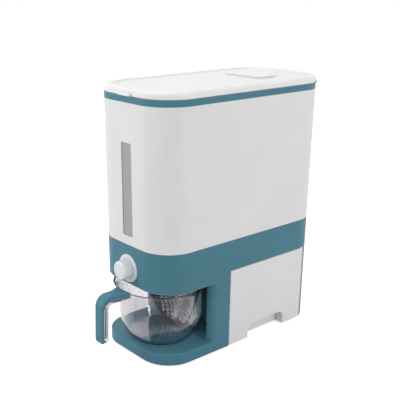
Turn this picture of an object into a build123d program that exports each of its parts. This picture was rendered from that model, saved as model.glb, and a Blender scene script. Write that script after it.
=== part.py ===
from build123d import *
import os
from math import cos, radians, sin, tan

# Rice dispenser with a drawer, in millimetres.
# +Z is up, the front (button and cup) faces -Y and the drawer slides out along +X.
# The origin is on the floor, under the middle of the whole outline, cup handle and hinges included.

# ---- Body outline and walls ----
body_width = 186.4            # across, at the joint between base and tank
body_depth = 370.0            # front to back, at the same joint
corner_radius = 55.0          # the four upright corners, seen from above
draft_angle = 0.28            # degrees: the outline grows upwards
base_wall = 3.0
tank_wall = 2.5
fit_gap = 0.3                 # between pieces that slide or drop into each other
seat_gap = 0.05               # between pieces that are fixed to each other
screw_gap = 0.05              # round the shank of a screw
lap = 0.5                     # joined shapes reach this far into each other
over = 1.0                    # cutting shapes reach this far past a surface

# ---- Heights, counted from the base's lower edge unless a comment says otherwise ----
foot_height = 2.0             # floor to the base's lower edge
tank_height = 232.7
collar_height = 10.6
lid_height = 11.2
lid_lift = 0.6                # gap between collar and lid, a thin dark line
tray_height = 20.0
head_clearance = 8.7          # strainer's lip to the underside of the head
head_height = 69.0            # the head, from its underside to the tank
bay_ceiling_drop = 54.0       # the tank's lower edge to the ceiling over the drawer
plate_thickness = 3.0
plate_recess = 0.4            # the base plate sits this far inside the lower edge

# ---- Alcove and columns, Y counted from the body's front face ----
cup_setback = 69.0            # front face to the cup's axis
alcove_radius = 87.0          # hollow back wall, round the cup's axis
column_setback = 105.0        # front face to the front of the columns
column_round = 12.0           # outer edge of each column
tray_edge_round = 2.5
rear_hollow_inset = 9.0       # hollow behind the columns, inside the body's sides
bay_setback = 160.0           # front face to the front wall of the drawer bay
partition_wall = 3.0
bay_mouth_depth = 15.0        # the drawer's opening is cut this far in from the side
plate_notch = 23.0            # the base plate stays this far inside the drawer's side

# ---- Button, gate and rice path ----
button_rise = 27.6            # button axis over the underside of the head
button_radius = 16.0
button_length = 26.0
button_proud = 20.5           # beyond the front face
button_wall = 2.2
button_round = 4.0
button_travel = 12.0
button_side_gap = 0.5
button_hole_depth = 12.0      # enough to pass the curved head wall
socket_wall = 1.6             # round the push rod, inside the button
socket_depth = 5.0
bezel_radius = 24.1
bezel_proud = 2.6
bezel_seat = 0.5              # depth of the bezel's seat in the head
bezel_edge = 0.8              # height of the bezel's rim under its rounding
guide_wall = 2.4
guide_length = 19.0
guide_flange = 5.0
rod_radius = 4.0
rod_running_gap = 0.06
spring_radius = 8.0           # middle of the wire
spring_wire = 1.2
spring_turns = 5
spring_end_gap = 0.2
slot_width = 40.0             # rice slot, across
slot_depth = 11.0             # rice slot, front to back
slot_round = 2.0
gate_thickness = 2.0
gate_margin = 5.0             # plate beyond its slot
gate_running_gap = 0.2
gate_rise = 16.0              # underside of the gate plate over that of the head
housing_wall = 6.0
housing_height = 18.0
housing_screw_inset = 3.5
hopper_socket = 3.0           # depth of the hopper's seat in the gate housing
lug_clearance = 10.0          # gate housing to the pushed-in lug
lug_thickness = 3.0
lug_half = 8.0
lug_web_length = 9.0
lug_web_thickness = 2.0
nozzle_wall = 2.0
nozzle_drop = 2.0             # the spout reaches this far below the head
nozzle_ease = 2.0             # the rice way widens by this much under the gate
nozzle_flange_thickness = 2.0
rod_screw_length = 9.0
rod_screw_head_radius = 3.0

# ---- Tank, window and hopper ----
window_width = 26.0
window_height = 155.0
window_bottom = 15.0          # above the base
window_round = 3.0
window_sink = 1.4             # lens below the tank's face
window_flange = 4.5
gasket_thickness = 0.8
lens_thickness = 1.6
hopper_wall = 2.2
hopper_front_rise = 6.0       # top edge of the hopper above the base, at the front
hopper_tilt = 8.0             # degrees: the top edge rises to the back
hopper_neck = 12.0            # height of the upright neck
neck_wall = 2.0
ledge_width = 3.0
ledge_thickness = 2.0
spigot_depth = 6.0
spigot_thickness = 2.2
spigot_web = 3.0              # joins the spigot to the tank's wall

# ---- Lid ----
lid_wall = 2.5
lid_inset = 0.4               # lid's edge inside the collar's
lid_edge_round = 6.0
lid_rim_width = 13.0
lid_panel_sink = 2.2
collar_width = 5.0
seal_thickness = 2.0
seal_depth = 4.0
seal_gap = 1.2                # seal's tongue inside the collar; the lid's swing needs it
seal_lap = 1.6                # seal's flange over the collar
tab_width = 33.0
tab_reach = 3.6
tab_height = 5.0
tab_top_round = 2.6
hinge_spacing = 90.0
hinge_radius = 4.2
hinge_knuckle = 16.0
hinge_ear = 6.0
hinge_side_gap = 0.4
hinge_drop = 4.3              # hinge axis below the collar's top edge
hinge_arm_height = 5.2        # top of the lid's arms over its lower edge
hinge_arm_round = 3.6
hinge_pin_radius = 1.5
hinge_pin_gap = 0.05
tile_width = 90.0
tile_depth = 48.0
tile_setback = 247.5          # front face to the tile's front edge
tile_thickness = 3.4
tile_round = 14.0
tile_edge_round = 1.6
tile_plug = 3.0
tile_plug_wall = 1.5
pocket_depth = 20.0
pocket_wall = 1.8
pocket_rim = 3.4
flange_inset = 1.0            # the desiccant cup's flange inside the tile's outline
flange_thickness = 1.0
vent_pitch = 12.0
vent_width = 2.4
vent_length = 8.0

# ---- Cup, Z counted from the tray and radii from the cup's axis ----
cup_height = 97.5
cup_wall = 2.2
cup_floor = 3.0
cup_foot_radius = 58.0
cup_side_radius = 73.9
cup_side_height = 52.0
cup_bulge = (68.6, 22.0)      # a point on the round lower side: radius, height
cup_neck_radius = 75.2
cup_neck_drop = 11.5          # neck below the rim
cup_rim_radius = 82.5
cup_rim_bulge = (77.4, 4.5)   # a point on the flared rim: radius, drop below the rim
strainer_rim_radius = 70.0
strainer_bulge = (49.0, 28.0) # a point on the strainer's wall: radius, height
strainer_floor_radius = 33.0
strainer_floor_round = 7.0
strainer_wall = 1.6
strainer_floor_gap = 0.6
strainer_edge = 26.0          # straight edge behind the cup's axis
strainer_bead = 0.9           # the straight edge is thicker by this much
strainer_bead_width = 2.2
strainer_lip = 1.8
strainer_lip_inset = 1.0      # inside the cup's rim
strainer_hole_radius = 1.7
strainer_hole_pitch = 7.8
strainer_border = 5.0         # plain edge round the holes
handle_width = 21.0
handle_reach = 131.0          # cup's axis to the handle's outer face, at its top
handle_lean = 2.8             # the foot of the handle stands this much further out
handle_rise = 3.0             # top of the handle over the rim
handle_bottom = 16.0
handle_thickness = 14.0
handle_cover = 4.5
handle_arm = 15.5
handle_arm_cover = 10.0
handle_outer_bend = 20.0
handle_inner_bend = 9.0
handle_tip_round = 6.8
handle_foot_round = 7.5         # the corners of the foot, seen from the front
handle_root_width = 52.0
handle_root_start = 18.0      # the root widens over this length outside the rim
handle_root_bend = (4.0, 11.2)  # a point on its side: beyond the bar's side, from the start
handle_root_lap = 10.0        # the root's wings reach this far round the rim
handle_edge_round = 2.6

# ---- Drawer, Y counted from the front wall of the bay ----
drawer_travel = 120.0
front_lap = 13.0              # drawer front beyond the bay's front wall
front_rear = 174.0            # rear edge of the drawer front
front_bottom = 1.3
front_top_drop = 2.3          # top of the drawer front below the bay's ceiling
front_edge_round = 0.8
front_wall = 3.0
front_gap = 0.8
box_wall = 2.2
box_left_gap = 6.0
box_right = 4.7               # box front wall inside the body's side
box_length = 161.4
box_side_gap = 0.5
box_floor_height = 5.4
box_height = 124.0
box_round = 6.0
box_screw_inset = 14.0
box_screw_low = 48.0
box_screw_high_drop = 18.0    # upper screws below the box's top edge
box_screw_grip = 2.6          # length in the boss of the drawer front
box_screw_bore = 3.0          # depth of the bore in that boss
notch_start = 33.0
notch_width = 92.0
notch_height = 27.0
notch_round = 12.0
notch_depth = 18.0
notch_wall = 2.4
runner_thickness = 1.8
runner_width = 11.0
runner_height = 11.0
runner_end_gap = 28.0         # rail's end inside the body's side
runner_screw_end = 20.0       # screws from the rail's ends
runner_screw_inset = 3.5      # screws from the foot's free edge
runner_gap = 0.2              # under the drawer box
runner_screw_drop = 0.3       # screw heads under the drawer box

# ---- Feet and screws ----
foot_radius = 10.0
foot_sink = 1.0
foot_side_inset = 41.2
foot_end_inset = 38.0
foot_edge_chamfer = 0.6
base_screw_x = 34.0           # the screws at both ends stand this far from the middle
base_screw_end = 12.0         # front screws behind the front face
rear_screw_end = 8.0
column_screw_side = 7.4       # screws in the columns, inside the body's side
column_screw_setback = 28.0   # and behind the columns' front
screw_head_radius = 3.0
screw_head_height = 1.6
head_sink = 0.2               # screw heads below the surface that they are sunk in
screw_shank_radius = 1.4
screw_length = 11.0
boss_radius = 4.5
boss_height = 16.0
small_head_radius = 2.2
small_head_height = 1.0
small_shank_radius = 1.1
small_screw_length = 4.4

# ---- Places worked out from the values above ----
head_bottom = tray_height + cup_height + strainer_lip + head_clearance
base_height = head_bottom + head_height
bay_ceiling = base_height - bay_ceiling_drop
button_height = head_bottom + button_rise
gate_height = head_bottom + gate_rise
handle_top = cup_height + handle_rise
front_top = bay_ceiling - front_top_drop
base_z = foot_height
tray_z = base_z + tray_height
head_z = base_z + head_bottom
joint_z = base_z + base_height            # base to tank
collar_z = joint_z + tank_height
collar_top = collar_z + collar_height
lid_z = collar_top + lid_lift
lid_top = lid_z + lid_height
plate_top = base_z + plate_recess + plate_thickness
side_x = body_width / 2


def inset_at(z):
    """How far the outline at height z lies inside the outline at the joint."""
    return (joint_z - z) * tan(radians(draft_angle))


collar_grow = -inset_at(collar_top)
hinge_setoff = hinge_radius + fit_gap     # hinge axis behind the collar
rear_reach = body_depth / 2 + collar_grow + hinge_setoff + hinge_radius
front_reach = body_depth / 2 - cup_setback + handle_reach + handle_lean
body_y = (front_reach - rear_reach) / 2   # the outline's middle is at Y 0
front_y = body_y - body_depth / 2
rear_y = body_y + body_depth / 2
cup_y = front_y + cup_setback
bay_y = front_y + bay_setback
column_y = front_y + column_setback
far = body_depth                          # longer than any piece


# ---- Shapes that several pieces use ----
def block(x0, x1, y0, y1, z0, z1):
    """A box between two corners."""
    middle = Pos((x0 + x1) / 2, (y0 + y1) / 2, (z0 + z1) / 2)
    return middle * Box(x1 - x0, y1 - y0, z1 - z0)


def outline(z, inset=0.0):
    """The body's rounded outline at height z, drawn in by inset."""
    step = inset + inset_at(z)
    shape = RectangleRounded(body_width - 2 * step, body_depth - 2 * step, corner_radius - step)
    return Pos(0, body_y, z) * shape


def body_volume(z0, z1, inset=0.0):
    """The drafted body between two heights, drawn in by inset."""
    return loft([outline(z0, inset), outline(z1, inset)], ruled=True)


def body_ring(z0, z1, outer, inner):
    """A closed ring that follows the body's outline."""
    over = 1.0
    return body_volume(z0, z1, outer) - body_volume(z0 - over, z1 + over, inner)


def pillar(x, y, z0, z1, radius):
    """An upright cylinder."""
    return Pos(x, y, z0) * extrude(Circle(radius), z1 - z0)


def rod_along_y(x, z, y0, y1, radius):
    """A cylinder that runs front to back."""
    return Pos(x, y0, z) * Rot(-90, 0, 0) * extrude(Circle(radius), y1 - y0)


def rod_along_x(y, z, x0, x1, radius):
    """A cylinder that runs across."""
    return Pos(x0, y, z) * Rot(0, 90, 0) * extrude(Circle(radius), x1 - x0)


def rounded_block(width, depth, radius, x, y, z0, z1):
    """An upright block with four round corners."""
    return Pos(x, y, z0) * extrude(RectangleRounded(width, depth, radius), z1 - z0)


def screw(head_radius, head_height, shank_radius, length):
    """A pan-head screw: head above Z 0, shank below."""
    head = extrude(Circle(head_radius), head_height)
    shank = Pos(0, 0, -length) * extrude(Circle(shank_radius), length)
    return head + shank


def slot_column(grow, z0, z1):
    """The rice slot as an upright prism, grown all round by grow."""
    return rounded_block(
        slot_width + 2 * grow, slot_depth + 2 * grow, slot_round + grow, 0, housing_y, z0, z1
    )


# ---- Base: one moulding with tray, columns, alcove, head and drawer bay ----
base_screw_places = [
    (side * x, y)
    for x, y in (
        (base_screw_x, front_y + base_screw_end),
        (side_x - column_screw_side, column_y + column_screw_setback),
        (base_screw_x, rear_y - rear_screw_end),
    )
    for side in (-1, 1)
]
housing_y = cup_y + 3.0                   # middle of the rice slot
housing_front = housing_y - slot_depth / 2 - gate_margin - housing_wall
gate_end = housing_y + slot_depth / 2 + gate_margin
housing_rear = gate_end + button_travel + housing_wall
housing_half = slot_width / 2 + gate_margin + housing_wall
housing_z = head_z + base_wall + nozzle_flange_thickness
housing_top = housing_z + housing_height
button_z = base_z + button_height
gate_z = base_z + gate_height
button_face = front_y + inset_at(button_z)
bay_top = base_z + bay_ceiling
opening_top = base_z + front_top + front_gap
opening_rear = bay_y + front_rear + front_gap
housing_screw_places = [
    (x, y)
    for x in (-housing_half + housing_screw_inset, housing_half - housing_screw_inset)
    for y in (housing_front + housing_screw_inset, housing_rear - housing_screw_inset)
]


def column_corners(inset):
    """What lies outside the round edges of the columns, drawn in by inset."""
    corners = []
    for side in (-1, 1):
        middle_x = side * (side_x - inset_at(head_z) - column_round)
        low, high = sorted((middle_x, side * far))
        middle_y = column_y + column_round
        wedge = block(low, high, column_y, middle_y, tray_z, head_z)
        corners.append(wedge - pillar(middle_x, middle_y, tray_z, head_z, column_round - inset))
    return corners


def make_alcove():
    """The space over the tray: open in front, with a hollow back wall round the cup."""
    well = pillar(0, cup_y, tray_z, head_z, alcove_radius)
    mouth = block(-far, far, front_y - far, column_y, tray_z, head_z)
    return well + mouth + column_corners(0)


def tray_edges(shell):
    """The tray's upper edges, in front of the columns."""
    level = shell.edges().filter_by_position(Axis.Z, tray_z - 0.1, tray_z + 0.1)
    return [edge for edge in level if edge.center().Y < column_y - 1]


def make_base_shell():
    shell = body_volume(base_z, joint_z)
    alcove = make_alcove()
    shell -= alcove
    shell = fillet(tray_edges(shell), tray_edge_round)

    # The head is hollow and open on top; its floor carries the rice outlet.
    head_floor = head_z + base_wall
    ceiling_top = bay_top + base_wall
    head_space = body_volume(head_floor, joint_z + over, base_wall)
    head_space -= block(-far, far, bay_y - partition_wall, far, base_z, ceiling_top)
    shell -= head_space

    # Under the tray and inside the columns the moulding is hollow and open below.
    tray_under = body_volume(base_z - over, tray_z - base_wall, base_wall)
    tray_under -= block(-far, far, bay_y - partition_wall, far, 0, joint_z)
    shell -= tray_under
    column_space = body_volume(tray_z - base_wall, head_z - base_wall, base_wall)
    column_space -= pillar(0, cup_y, 0, joint_z, alcove_radius + base_wall)
    column_space -= column_corners(base_wall)
    rebate_y = bay_y - front_lap
    front_pocket = block(-far, far, column_y + base_wall, rebate_y - base_wall, 0, joint_z)
    hollow_x = side_x - rear_hollow_inset
    rear_pocket = block(-hollow_x, hollow_x, rebate_y, bay_y - partition_wall, 0, joint_z)
    shell -= column_space & front_pocket
    shell -= column_space & rear_pocket

    # The drawer bay, its opening in the right side and the rebate for the drawer front.
    bay = body_volume(base_z - over, bay_top, base_wall)
    bay -= block(-far, far, -far, bay_y, 0, joint_z)
    shell -= bay
    shell -= block(side_x - bay_mouth_depth, far, bay_y, opening_rear, base_z - over, opening_top)
    rebate_x = side_x - inset_at(base_z) - front_wall - front_gap
    shell -= block(rebate_x, far, rebate_y - front_gap, bay_y + over, base_z - over, opening_top)

    # The base plate drops in from below, against screw bosses.
    shell -= body_volume(base_z - over, plate_top, base_wall)
    for x, y in base_screw_places:
        boss = pillar(x, y, plate_top, plate_top + boss_height, boss_radius)
        shell += boss & body_volume(base_z, joint_z, base_wall / 2)
    for x, y in base_screw_places:
        shell -= pillar(x, y, plate_top - over, plate_top + screw_length, screw_shank_radius + screw_gap)

    # Holes for the button's bezel and the nozzle.
    sleeve_radius = button_radius + button_side_gap + guide_wall
    shell -= rod_along_y(0, button_z, front_y - over, front_y + button_hole_depth, sleeve_radius)
    shell -= rod_along_y(0, button_z, front_y - over, button_face + bezel_seat, bezel_radius + seat_gap)
    spout_grow = nozzle_ease + nozzle_wall
    shell -= slot_column(spout_grow + seat_gap, head_z - over, head_floor + over)
    for x, y in housing_screw_places:
        shell -= pillar(x, y, head_z - over, head_floor + over, screw_shank_radius + screw_gap)
    return shell


def make_base_plate():
    plate = body_volume(base_z + plate_recess, plate_top, base_wall + fit_gap)
    rebate_y = bay_y - front_lap
    plate -= block(side_x - plate_notch, far, rebate_y - base_wall - over, far, 0, plate_top + over)
    for x, y in base_screw_places:
        head_room = base_z + plate_recess + screw_head_height + head_sink
        plate -= pillar(x, y, 0, head_room, screw_head_radius + fit_gap)
        plate -= pillar(x, y, 0, plate_top + over, screw_shank_radius + screw_gap)
    for x, y in foot_places:
        plate -= pillar(x, y, 0, base_z + plate_recess + foot_sink, foot_radius + seat_gap)
    for x, y in runner_screw_places:
        plate -= pillar(x, y, 0, plate_top + over, small_shank_radius + screw_gap)
    return plate


def make_base_screws():
    head_face = base_z + plate_recess + screw_head_height + head_sink
    one = Rot(180, 0, 0) * screw(screw_head_radius, screw_head_height, screw_shank_radius, screw_length)
    return [Pos(x, y, head_face) * one for x, y in base_screw_places]


foot_x = side_x - foot_side_inset
foot_places = [(x, y) for x in (-foot_x, foot_x) for y in (front_y + foot_end_inset, rear_y - foot_end_inset)]


def make_feet():
    pads = []
    for x, y in foot_places:
        pad = pillar(x, y, 0, base_z + plate_recess + foot_sink, foot_radius)
        pads.append(chamfer(pad.edges().sort_by(Axis.Z)[0], foot_edge_chamfer))
    return pads


# ---- Tank with its window ----
def hopper_plane(inset_z):
    """The tilted plane of the hopper's top edge, moved up by inset_z."""
    middle_z = joint_z + hopper_front_rise + body_depth / 2 * tan(radians(hopper_tilt))
    return Plane(
        origin=(0, body_y, middle_z + inset_z),
        x_dir=(1, 0, 0),
        z_dir=(0, -sin(radians(hopper_tilt)), cos(radians(hopper_tilt))),
    )


def tilted_slab(low, high):
    """A wide slab in the hopper's tilt, between two distances from its plane."""
    return hopper_plane(0) * Pos(0, 0, (low + high) / 2) * Box(2 * far, 2 * far, high - low)


def window_panel(grow, outer, inner):
    """A piece of the tank's front wall at the window, grown all round by grow."""
    middle_z = joint_z + window_bottom + window_height / 2
    shape = RectangleRounded(
        window_width + 2 * grow, window_height + 2 * grow, window_round + max(grow, -1.5)
    )
    prism = Pos(0, front_y - 5, middle_z) * Rot(-90, 0, 0) * extrude(shape, 20)
    z0 = joint_z + window_bottom - 2 * window_flange
    z1 = z0 + window_height + 4 * window_flange
    return prism & body_ring(z0, z1, outer, inner)


def make_tank_shell():
    tank = body_ring(joint_z, collar_z, 0, tank_wall)
    spigot_outer = base_wall + fit_gap
    spigot_inner = spigot_outer + spigot_thickness
    tank += body_ring(joint_z - spigot_depth, joint_z + spigot_web, spigot_outer, spigot_inner)
    tank += body_ring(joint_z, joint_z + spigot_web, tank_wall - over, spigot_inner)
    ledge = body_ring(joint_z, collar_z, tank_wall - over, tank_wall + ledge_width)
    tank += ledge & tilted_slab(-ledge_thickness, 0)
    middle_z = joint_z + window_bottom + window_height / 2
    hole = RectangleRounded(window_width, window_height, window_round)
    tank -= Pos(0, front_y - 5, middle_z) * Rot(-90, 0, 0) * extrude(hole, 15)
    return tank


def make_window_lens():
    flange_outer = tank_wall + gasket_thickness + seat_gap
    lens = window_panel(window_flange, flange_outer, flange_outer + lens_thickness)
    return lens + window_panel(-fit_gap, window_sink, flange_outer + lens_thickness / 2)


def make_window_gasket():
    frame = window_panel(window_flange, tank_wall + seat_gap, tank_wall + gasket_thickness)
    return frame - window_panel(-fit_gap + seat_gap, tank_wall - over, tank_wall + gasket_thickness + over)


def hopper_outline(inset):
    """The tank's outline on the hopper's tilted plane, drawn in by inset."""
    length = (body_depth - 2 * inset) / cos(radians(hopper_tilt))
    return RectangleRounded(body_width - 2 * inset, length, corner_radius - inset)


def hopper_surface(drop, grow):
    """The solid under the hopper's sloped walls, from the neck to the tilted top edge."""
    neck_top = housing_top + hopper_neck
    low = Pos(0, housing_y, neck_top - drop) * RectangleRounded(
        slot_width + 2 * grow, slot_depth + 2 * grow, slot_round + grow
    )
    step = tank_wall + ledge_width + fit_gap + neck_wall - grow
    high = hopper_plane(hopper_wall - drop) * hopper_outline(step)
    return loft([low, high], ruled=True)


def make_hopper():
    hopper = hopper_surface(hopper_wall, neck_wall)
    rim_inner = hopper_outline(tank_wall + ledge_width + 2 * fit_gap + over)
    rim = hopper_plane(seat_gap) * extrude(
        hopper_outline(tank_wall + 2 * fit_gap) - rim_inner, hopper_wall - seat_gap
    )
    rim += hopper_plane(-ledge_thickness) * extrude(
        hopper_outline(tank_wall + ledge_width + 2 * fit_gap) - rim_inner, ledge_thickness + over
    )
    neck = slot_column(neck_wall, housing_top - hopper_socket + seat_gap, housing_top + hopper_neck)
    hopper = hopper + neck + rim
    hopper -= hopper_surface(0, 0)
    hopper -= slot_column(0, 0, housing_top + hopper_neck + over)
    return hopper


# ---- Gate housing, gate and nozzle in the head ----
def make_nozzle():
    flange = block(
        -housing_half, housing_half, housing_front, housing_rear,
        head_z + base_wall + seat_gap, housing_z - seat_gap,
    )
    spout = slot_column(nozzle_ease + nozzle_wall, head_z - nozzle_drop, housing_z - seat_gap)
    nozzle = flange + spout
    nozzle -= slot_column(nozzle_ease, head_z - nozzle_drop - over, housing_z + over)
    for x, y in housing_screw_places:
        nozzle -= pillar(x, y, head_z, housing_z + over, screw_shank_radius + screw_gap)
    return nozzle


def make_gate_housing():
    housing = block(-housing_half, housing_half, housing_front, housing_rear, housing_z, housing_top)
    gate_half = slot_width / 2 + gate_margin
    housing -= block(
        -gate_half - fit_gap, gate_half + fit_gap, housing_front - over, housing_rear - housing_wall + lap,
        gate_z - gate_running_gap, gate_z + gate_thickness + gate_running_gap,
    )
    housing -= slot_column(0, gate_z, housing_top + over)
    housing -= slot_column(nozzle_ease, housing_z - over, gate_z)
    housing -= slot_column(neck_wall + seat_gap, housing_top - hopper_socket, housing_top + over)
    for x, y in housing_screw_places:
        housing -= pillar(x, y, 0, housing_top + over, screw_shank_radius + screw_gap)
    return housing


def make_housing_screws():
    shank = housing_top - head_z - lap
    one = screw(screw_head_radius, screw_head_height, screw_shank_radius, shank)
    return [Pos(x, y, housing_top) * one for x, y in housing_screw_places]


lug_y = housing_front - button_travel - lug_clearance      # back face of the gate's lug


def make_gate_plate():
    gate_half = slot_width / 2 + gate_margin
    plate = block(-gate_half, gate_half, lug_y - lug_thickness, gate_end, gate_z, gate_z + gate_thickness)
    slot = RectangleRounded(slot_width, slot_depth, slot_round)
    plate -= Pos(0, housing_y - button_travel, gate_z - over) * extrude(slot, gate_thickness + 2 * over)
    lug = block(-lug_half, lug_half, lug_y - lug_thickness, lug_y, gate_z, button_z)
    lug += rod_along_y(0, button_z, lug_y - lug_thickness, lug_y, lug_half)
    for side in (-1, 1):
        web = Plane.YZ * make_face(Polyline(
            (lug_y - lap, gate_z + lap), (lug_y + lug_web_length, gate_z + lap),
            (lug_y - lap, gate_z + lug_web_length + lap), close=True,
        ))
        web_x = side * (lug_half - lug_web_thickness) - lug_web_thickness / 2
        plate += Pos(web_x, 0, 0) * extrude(web, lug_web_thickness)
    plate += lug
    screw_hole = rod_along_y(
        0, button_z, lug_y - lug_thickness - over, lug_y + over, small_shank_radius + screw_gap
    )
    return plate - screw_hole


button_front = button_face - button_proud
cap_inside = button_front + button_wall
guide_front = button_face + base_wall + fit_gap
guide_rear = guide_front + guide_length


def make_button_cap():
    cap = rod_along_y(0, button_z, button_front, button_front + button_length, button_radius)
    cap = fillet(cap.edges().sort_by(Axis.Y)[0], button_round)
    cap_end = button_front + button_length + over
    hollow = rod_along_y(0, button_z, cap_inside, cap_end, button_radius - button_wall)
    cap -= fillet(hollow.edges().sort_by(Axis.Y)[0], button_round - button_wall / 2)
    socket = rod_along_y(0, button_z, cap_inside - lap, cap_inside + socket_depth, rod_radius + socket_wall)
    socket -= rod_along_y(0, button_z, cap_inside, cap_inside + socket_depth + over, rod_radius + seat_gap)
    return cap + socket


def make_push_rod():
    rod = rod_along_y(0, button_z, cap_inside + seat_gap, lug_y - lug_thickness, rod_radius)
    return rod - rod_along_y(
        0, button_z, lug_y - lug_thickness - rod_screw_length, lug_y, small_shank_radius + screw_gap
    )


def make_rod_screw():
    shank = lug_thickness + rod_screw_length - over
    one = screw(rod_screw_head_radius, screw_head_height, small_shank_radius, shank)
    return Pos(0, lug_y, button_z) * Rot(-90, 0, 0) * one


def make_return_spring():
    length = guide_rear - guide_wall - cap_inside - 2 * (spring_wire + spring_end_gap)
    coil = Helix(pitch=length / spring_turns, height=length, radius=spring_radius)
    start = coil @ 0
    wire = Plane(origin=start, z_dir=coil % 0) * RegularPolygon(spring_wire / 2, 6)
    spring = sweep(wire, path=coil, is_frenet=True)
    # The flat end turns; their seams are turned away from the ends of the wire.
    ends = []
    for height in (0, length):
        ends.append(Pos(0, 0, height) * Rot(0, 0, 30) * Torus(spring_radius, spring_wire / 2))
    spring = spring + ends
    return Pos(0, cap_inside + spring_wire + spring_end_gap, button_z) * Rot(-90, 0, 0) * spring


def make_button_guide():
    inner = button_radius + button_side_gap
    outer = inner + guide_wall
    guide = rod_along_y(0, button_z, guide_front, guide_rear, outer)
    flange = rod_along_y(0, button_z, guide_front, guide_front + guide_wall, outer + guide_flange)
    guide += flange
    guide -= rod_along_y(0, button_z, guide_front - over, guide_rear - guide_wall, inner)
    return guide - rod_along_y(0, button_z, guide_front, guide_rear + over, rod_radius + rod_running_gap)


def make_bezel_ring():
    inner = button_radius + button_side_gap
    front = button_face - bezel_proud
    ring = rod_along_y(0, button_z, front, button_face + bezel_seat - seat_gap, bezel_radius)
    ring = fillet(ring.edges().sort_by(Axis.Y)[0], bezel_proud - bezel_edge)
    ring += rod_along_y(0, button_z, button_face, button_face + base_wall, inner + guide_wall - seat_gap)
    return ring - rod_along_y(0, button_z, front - over, button_face + base_wall + over, inner)


# ---- Collar and lid ----
hinge_y = rear_y + collar_grow + hinge_setoff
hinge_z = collar_top - hinge_drop
seal_inset = collar_width + seal_gap


def make_collar_ring():
    collar = body_ring(collar_z, collar_top, 0, collar_width)
    collar += body_ring(collar_z - spigot_depth, collar_z + over, tank_wall + fit_gap, collar_width)
    for middle in (-hinge_spacing / 2, hinge_spacing / 2):
        for side in (-1, 1):
            near = middle + side * (hinge_knuckle / 2 + hinge_side_gap)
            x0, x1 = sorted((near, near + side * hinge_ear))
            ear = rod_along_x(hinge_y, hinge_z, x0, x1, hinge_radius)
            low, high = hinge_z - hinge_radius, hinge_z + hinge_radius
            root = block(x0, x1, rear_y - corner_radius / 2, hinge_y, low, high)
            collar += ear + (root - body_volume(collar_z, collar_top, collar_width / 2))
        length = hinge_knuckle + 2 * hinge_side_gap + 2 * hinge_ear + 2
        collar -= rod_along_x(
            hinge_y, hinge_z, middle - length / 2, middle + length / 2, hinge_pin_radius + hinge_pin_gap
        )
    return collar


def make_hinge_pins():
    length = hinge_knuckle + 2 * hinge_side_gap + 2 * hinge_ear
    return [
        rod_along_x(hinge_y, hinge_z, middle - length / 2, middle + length / 2, hinge_pin_radius)
        for middle in (-hinge_spacing / 2, hinge_spacing / 2)
    ]


tile_y = front_y + tile_setback + tile_depth / 2
panel_z = lid_top - lid_panel_sink
under_panel = panel_z - lid_wall
pocket_width = tile_width - 2 * pocket_rim
pocket_length = tile_depth - 2 * pocket_rim


def lid_prism(z0, z1, inset):
    """An upright prism of the collar's top outline, drawn in by inset."""
    step = inset - collar_grow
    shape = RectangleRounded(body_width - 2 * step, body_depth - 2 * step, corner_radius - step)
    return Pos(0, body_y, z0) * extrude(shape, z1 - z0)


def make_lid_shell():
    lid = lid_prism(lid_z, lid_top, lid_inset)
    lid = fillet(lid.edges().group_by(Axis.Z)[-1], lid_edge_round)
    dish = lid_prism(panel_z, lid_top + 5, lid_inset + lid_rim_width)
    lid -= fillet(dish.edges().group_by(Axis.Z)[0], lid_panel_sink - 0.3)
    lid -= lid_prism(lid_z - over, under_panel, lid_inset + lid_wall)
    seal_top = collar_top + fit_gap + seal_thickness
    press_rib = lid_prism(seal_top, under_panel + lap, collar_width - seal_lap)
    press_rib -= lid_prism(seal_top - over, lid_top, seal_inset + 2 * seal_thickness)
    lip = lid_prism(collar_top - seal_depth - over, under_panel + lap, seal_inset + seal_thickness)
    lip -= lid_prism(0, lid_top, seal_inset + 2 * seal_thickness)
    lid += press_rib + lip

    tab_y = front_y - collar_grow + lid_wall
    tab = rounded_block(
        tab_width, 2 * (tab_reach + lid_wall), tab_reach, 0, tab_y, lid_z, lid_z + tab_height
    )
    tab = fillet(tab.edges().group_by(Axis.Z)[-1], tab_top_round)
    lid += tab & block(-far, far, -far, tab_y - lid_wall / 2, 0, lid_top)

    for middle in (-hinge_spacing / 2, hinge_spacing / 2):
        x0, x1 = middle - hinge_knuckle / 2, middle + hinge_knuckle / 2
        knuckle = rod_along_x(hinge_y, hinge_z, x0, x1, hinge_radius)
        arm = block(x0, x1, hinge_y - hinge_radius, hinge_y + hinge_radius, hinge_z, lid_z + hinge_arm_height)
        root = block(x0, x1, rear_y - corner_radius / 2, hinge_y, lid_z, lid_z + hinge_arm_height)
        arm += root - lid_prism(0, lid_top, lid_inset + lid_wall / 2)
        arm = fillet(arm.edges().filter_by(Axis.X).sort_by(Axis.Y)[-1], hinge_arm_round)
        lid += knuckle + arm
        lid -= rod_along_x(hinge_y, hinge_z, x0 - over, x1 + over, hinge_pin_radius + hinge_pin_gap)

    hole = rounded_block(
        pocket_width, pocket_length, tile_round - pocket_rim, 0, tile_y, under_panel - 5, lid_top
    )
    return lid - hole


def make_lid_seal():
    flange_z = collar_top + fit_gap
    flange = lid_prism(flange_z, flange_z + seal_thickness - seat_gap, collar_width - seal_lap)
    tongue = lid_prism(collar_top - seal_depth, collar_top + over, seal_inset)
    return flange + tongue - lid_prism(0, lid_top, seal_inset + seal_thickness - seat_gap)


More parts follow.
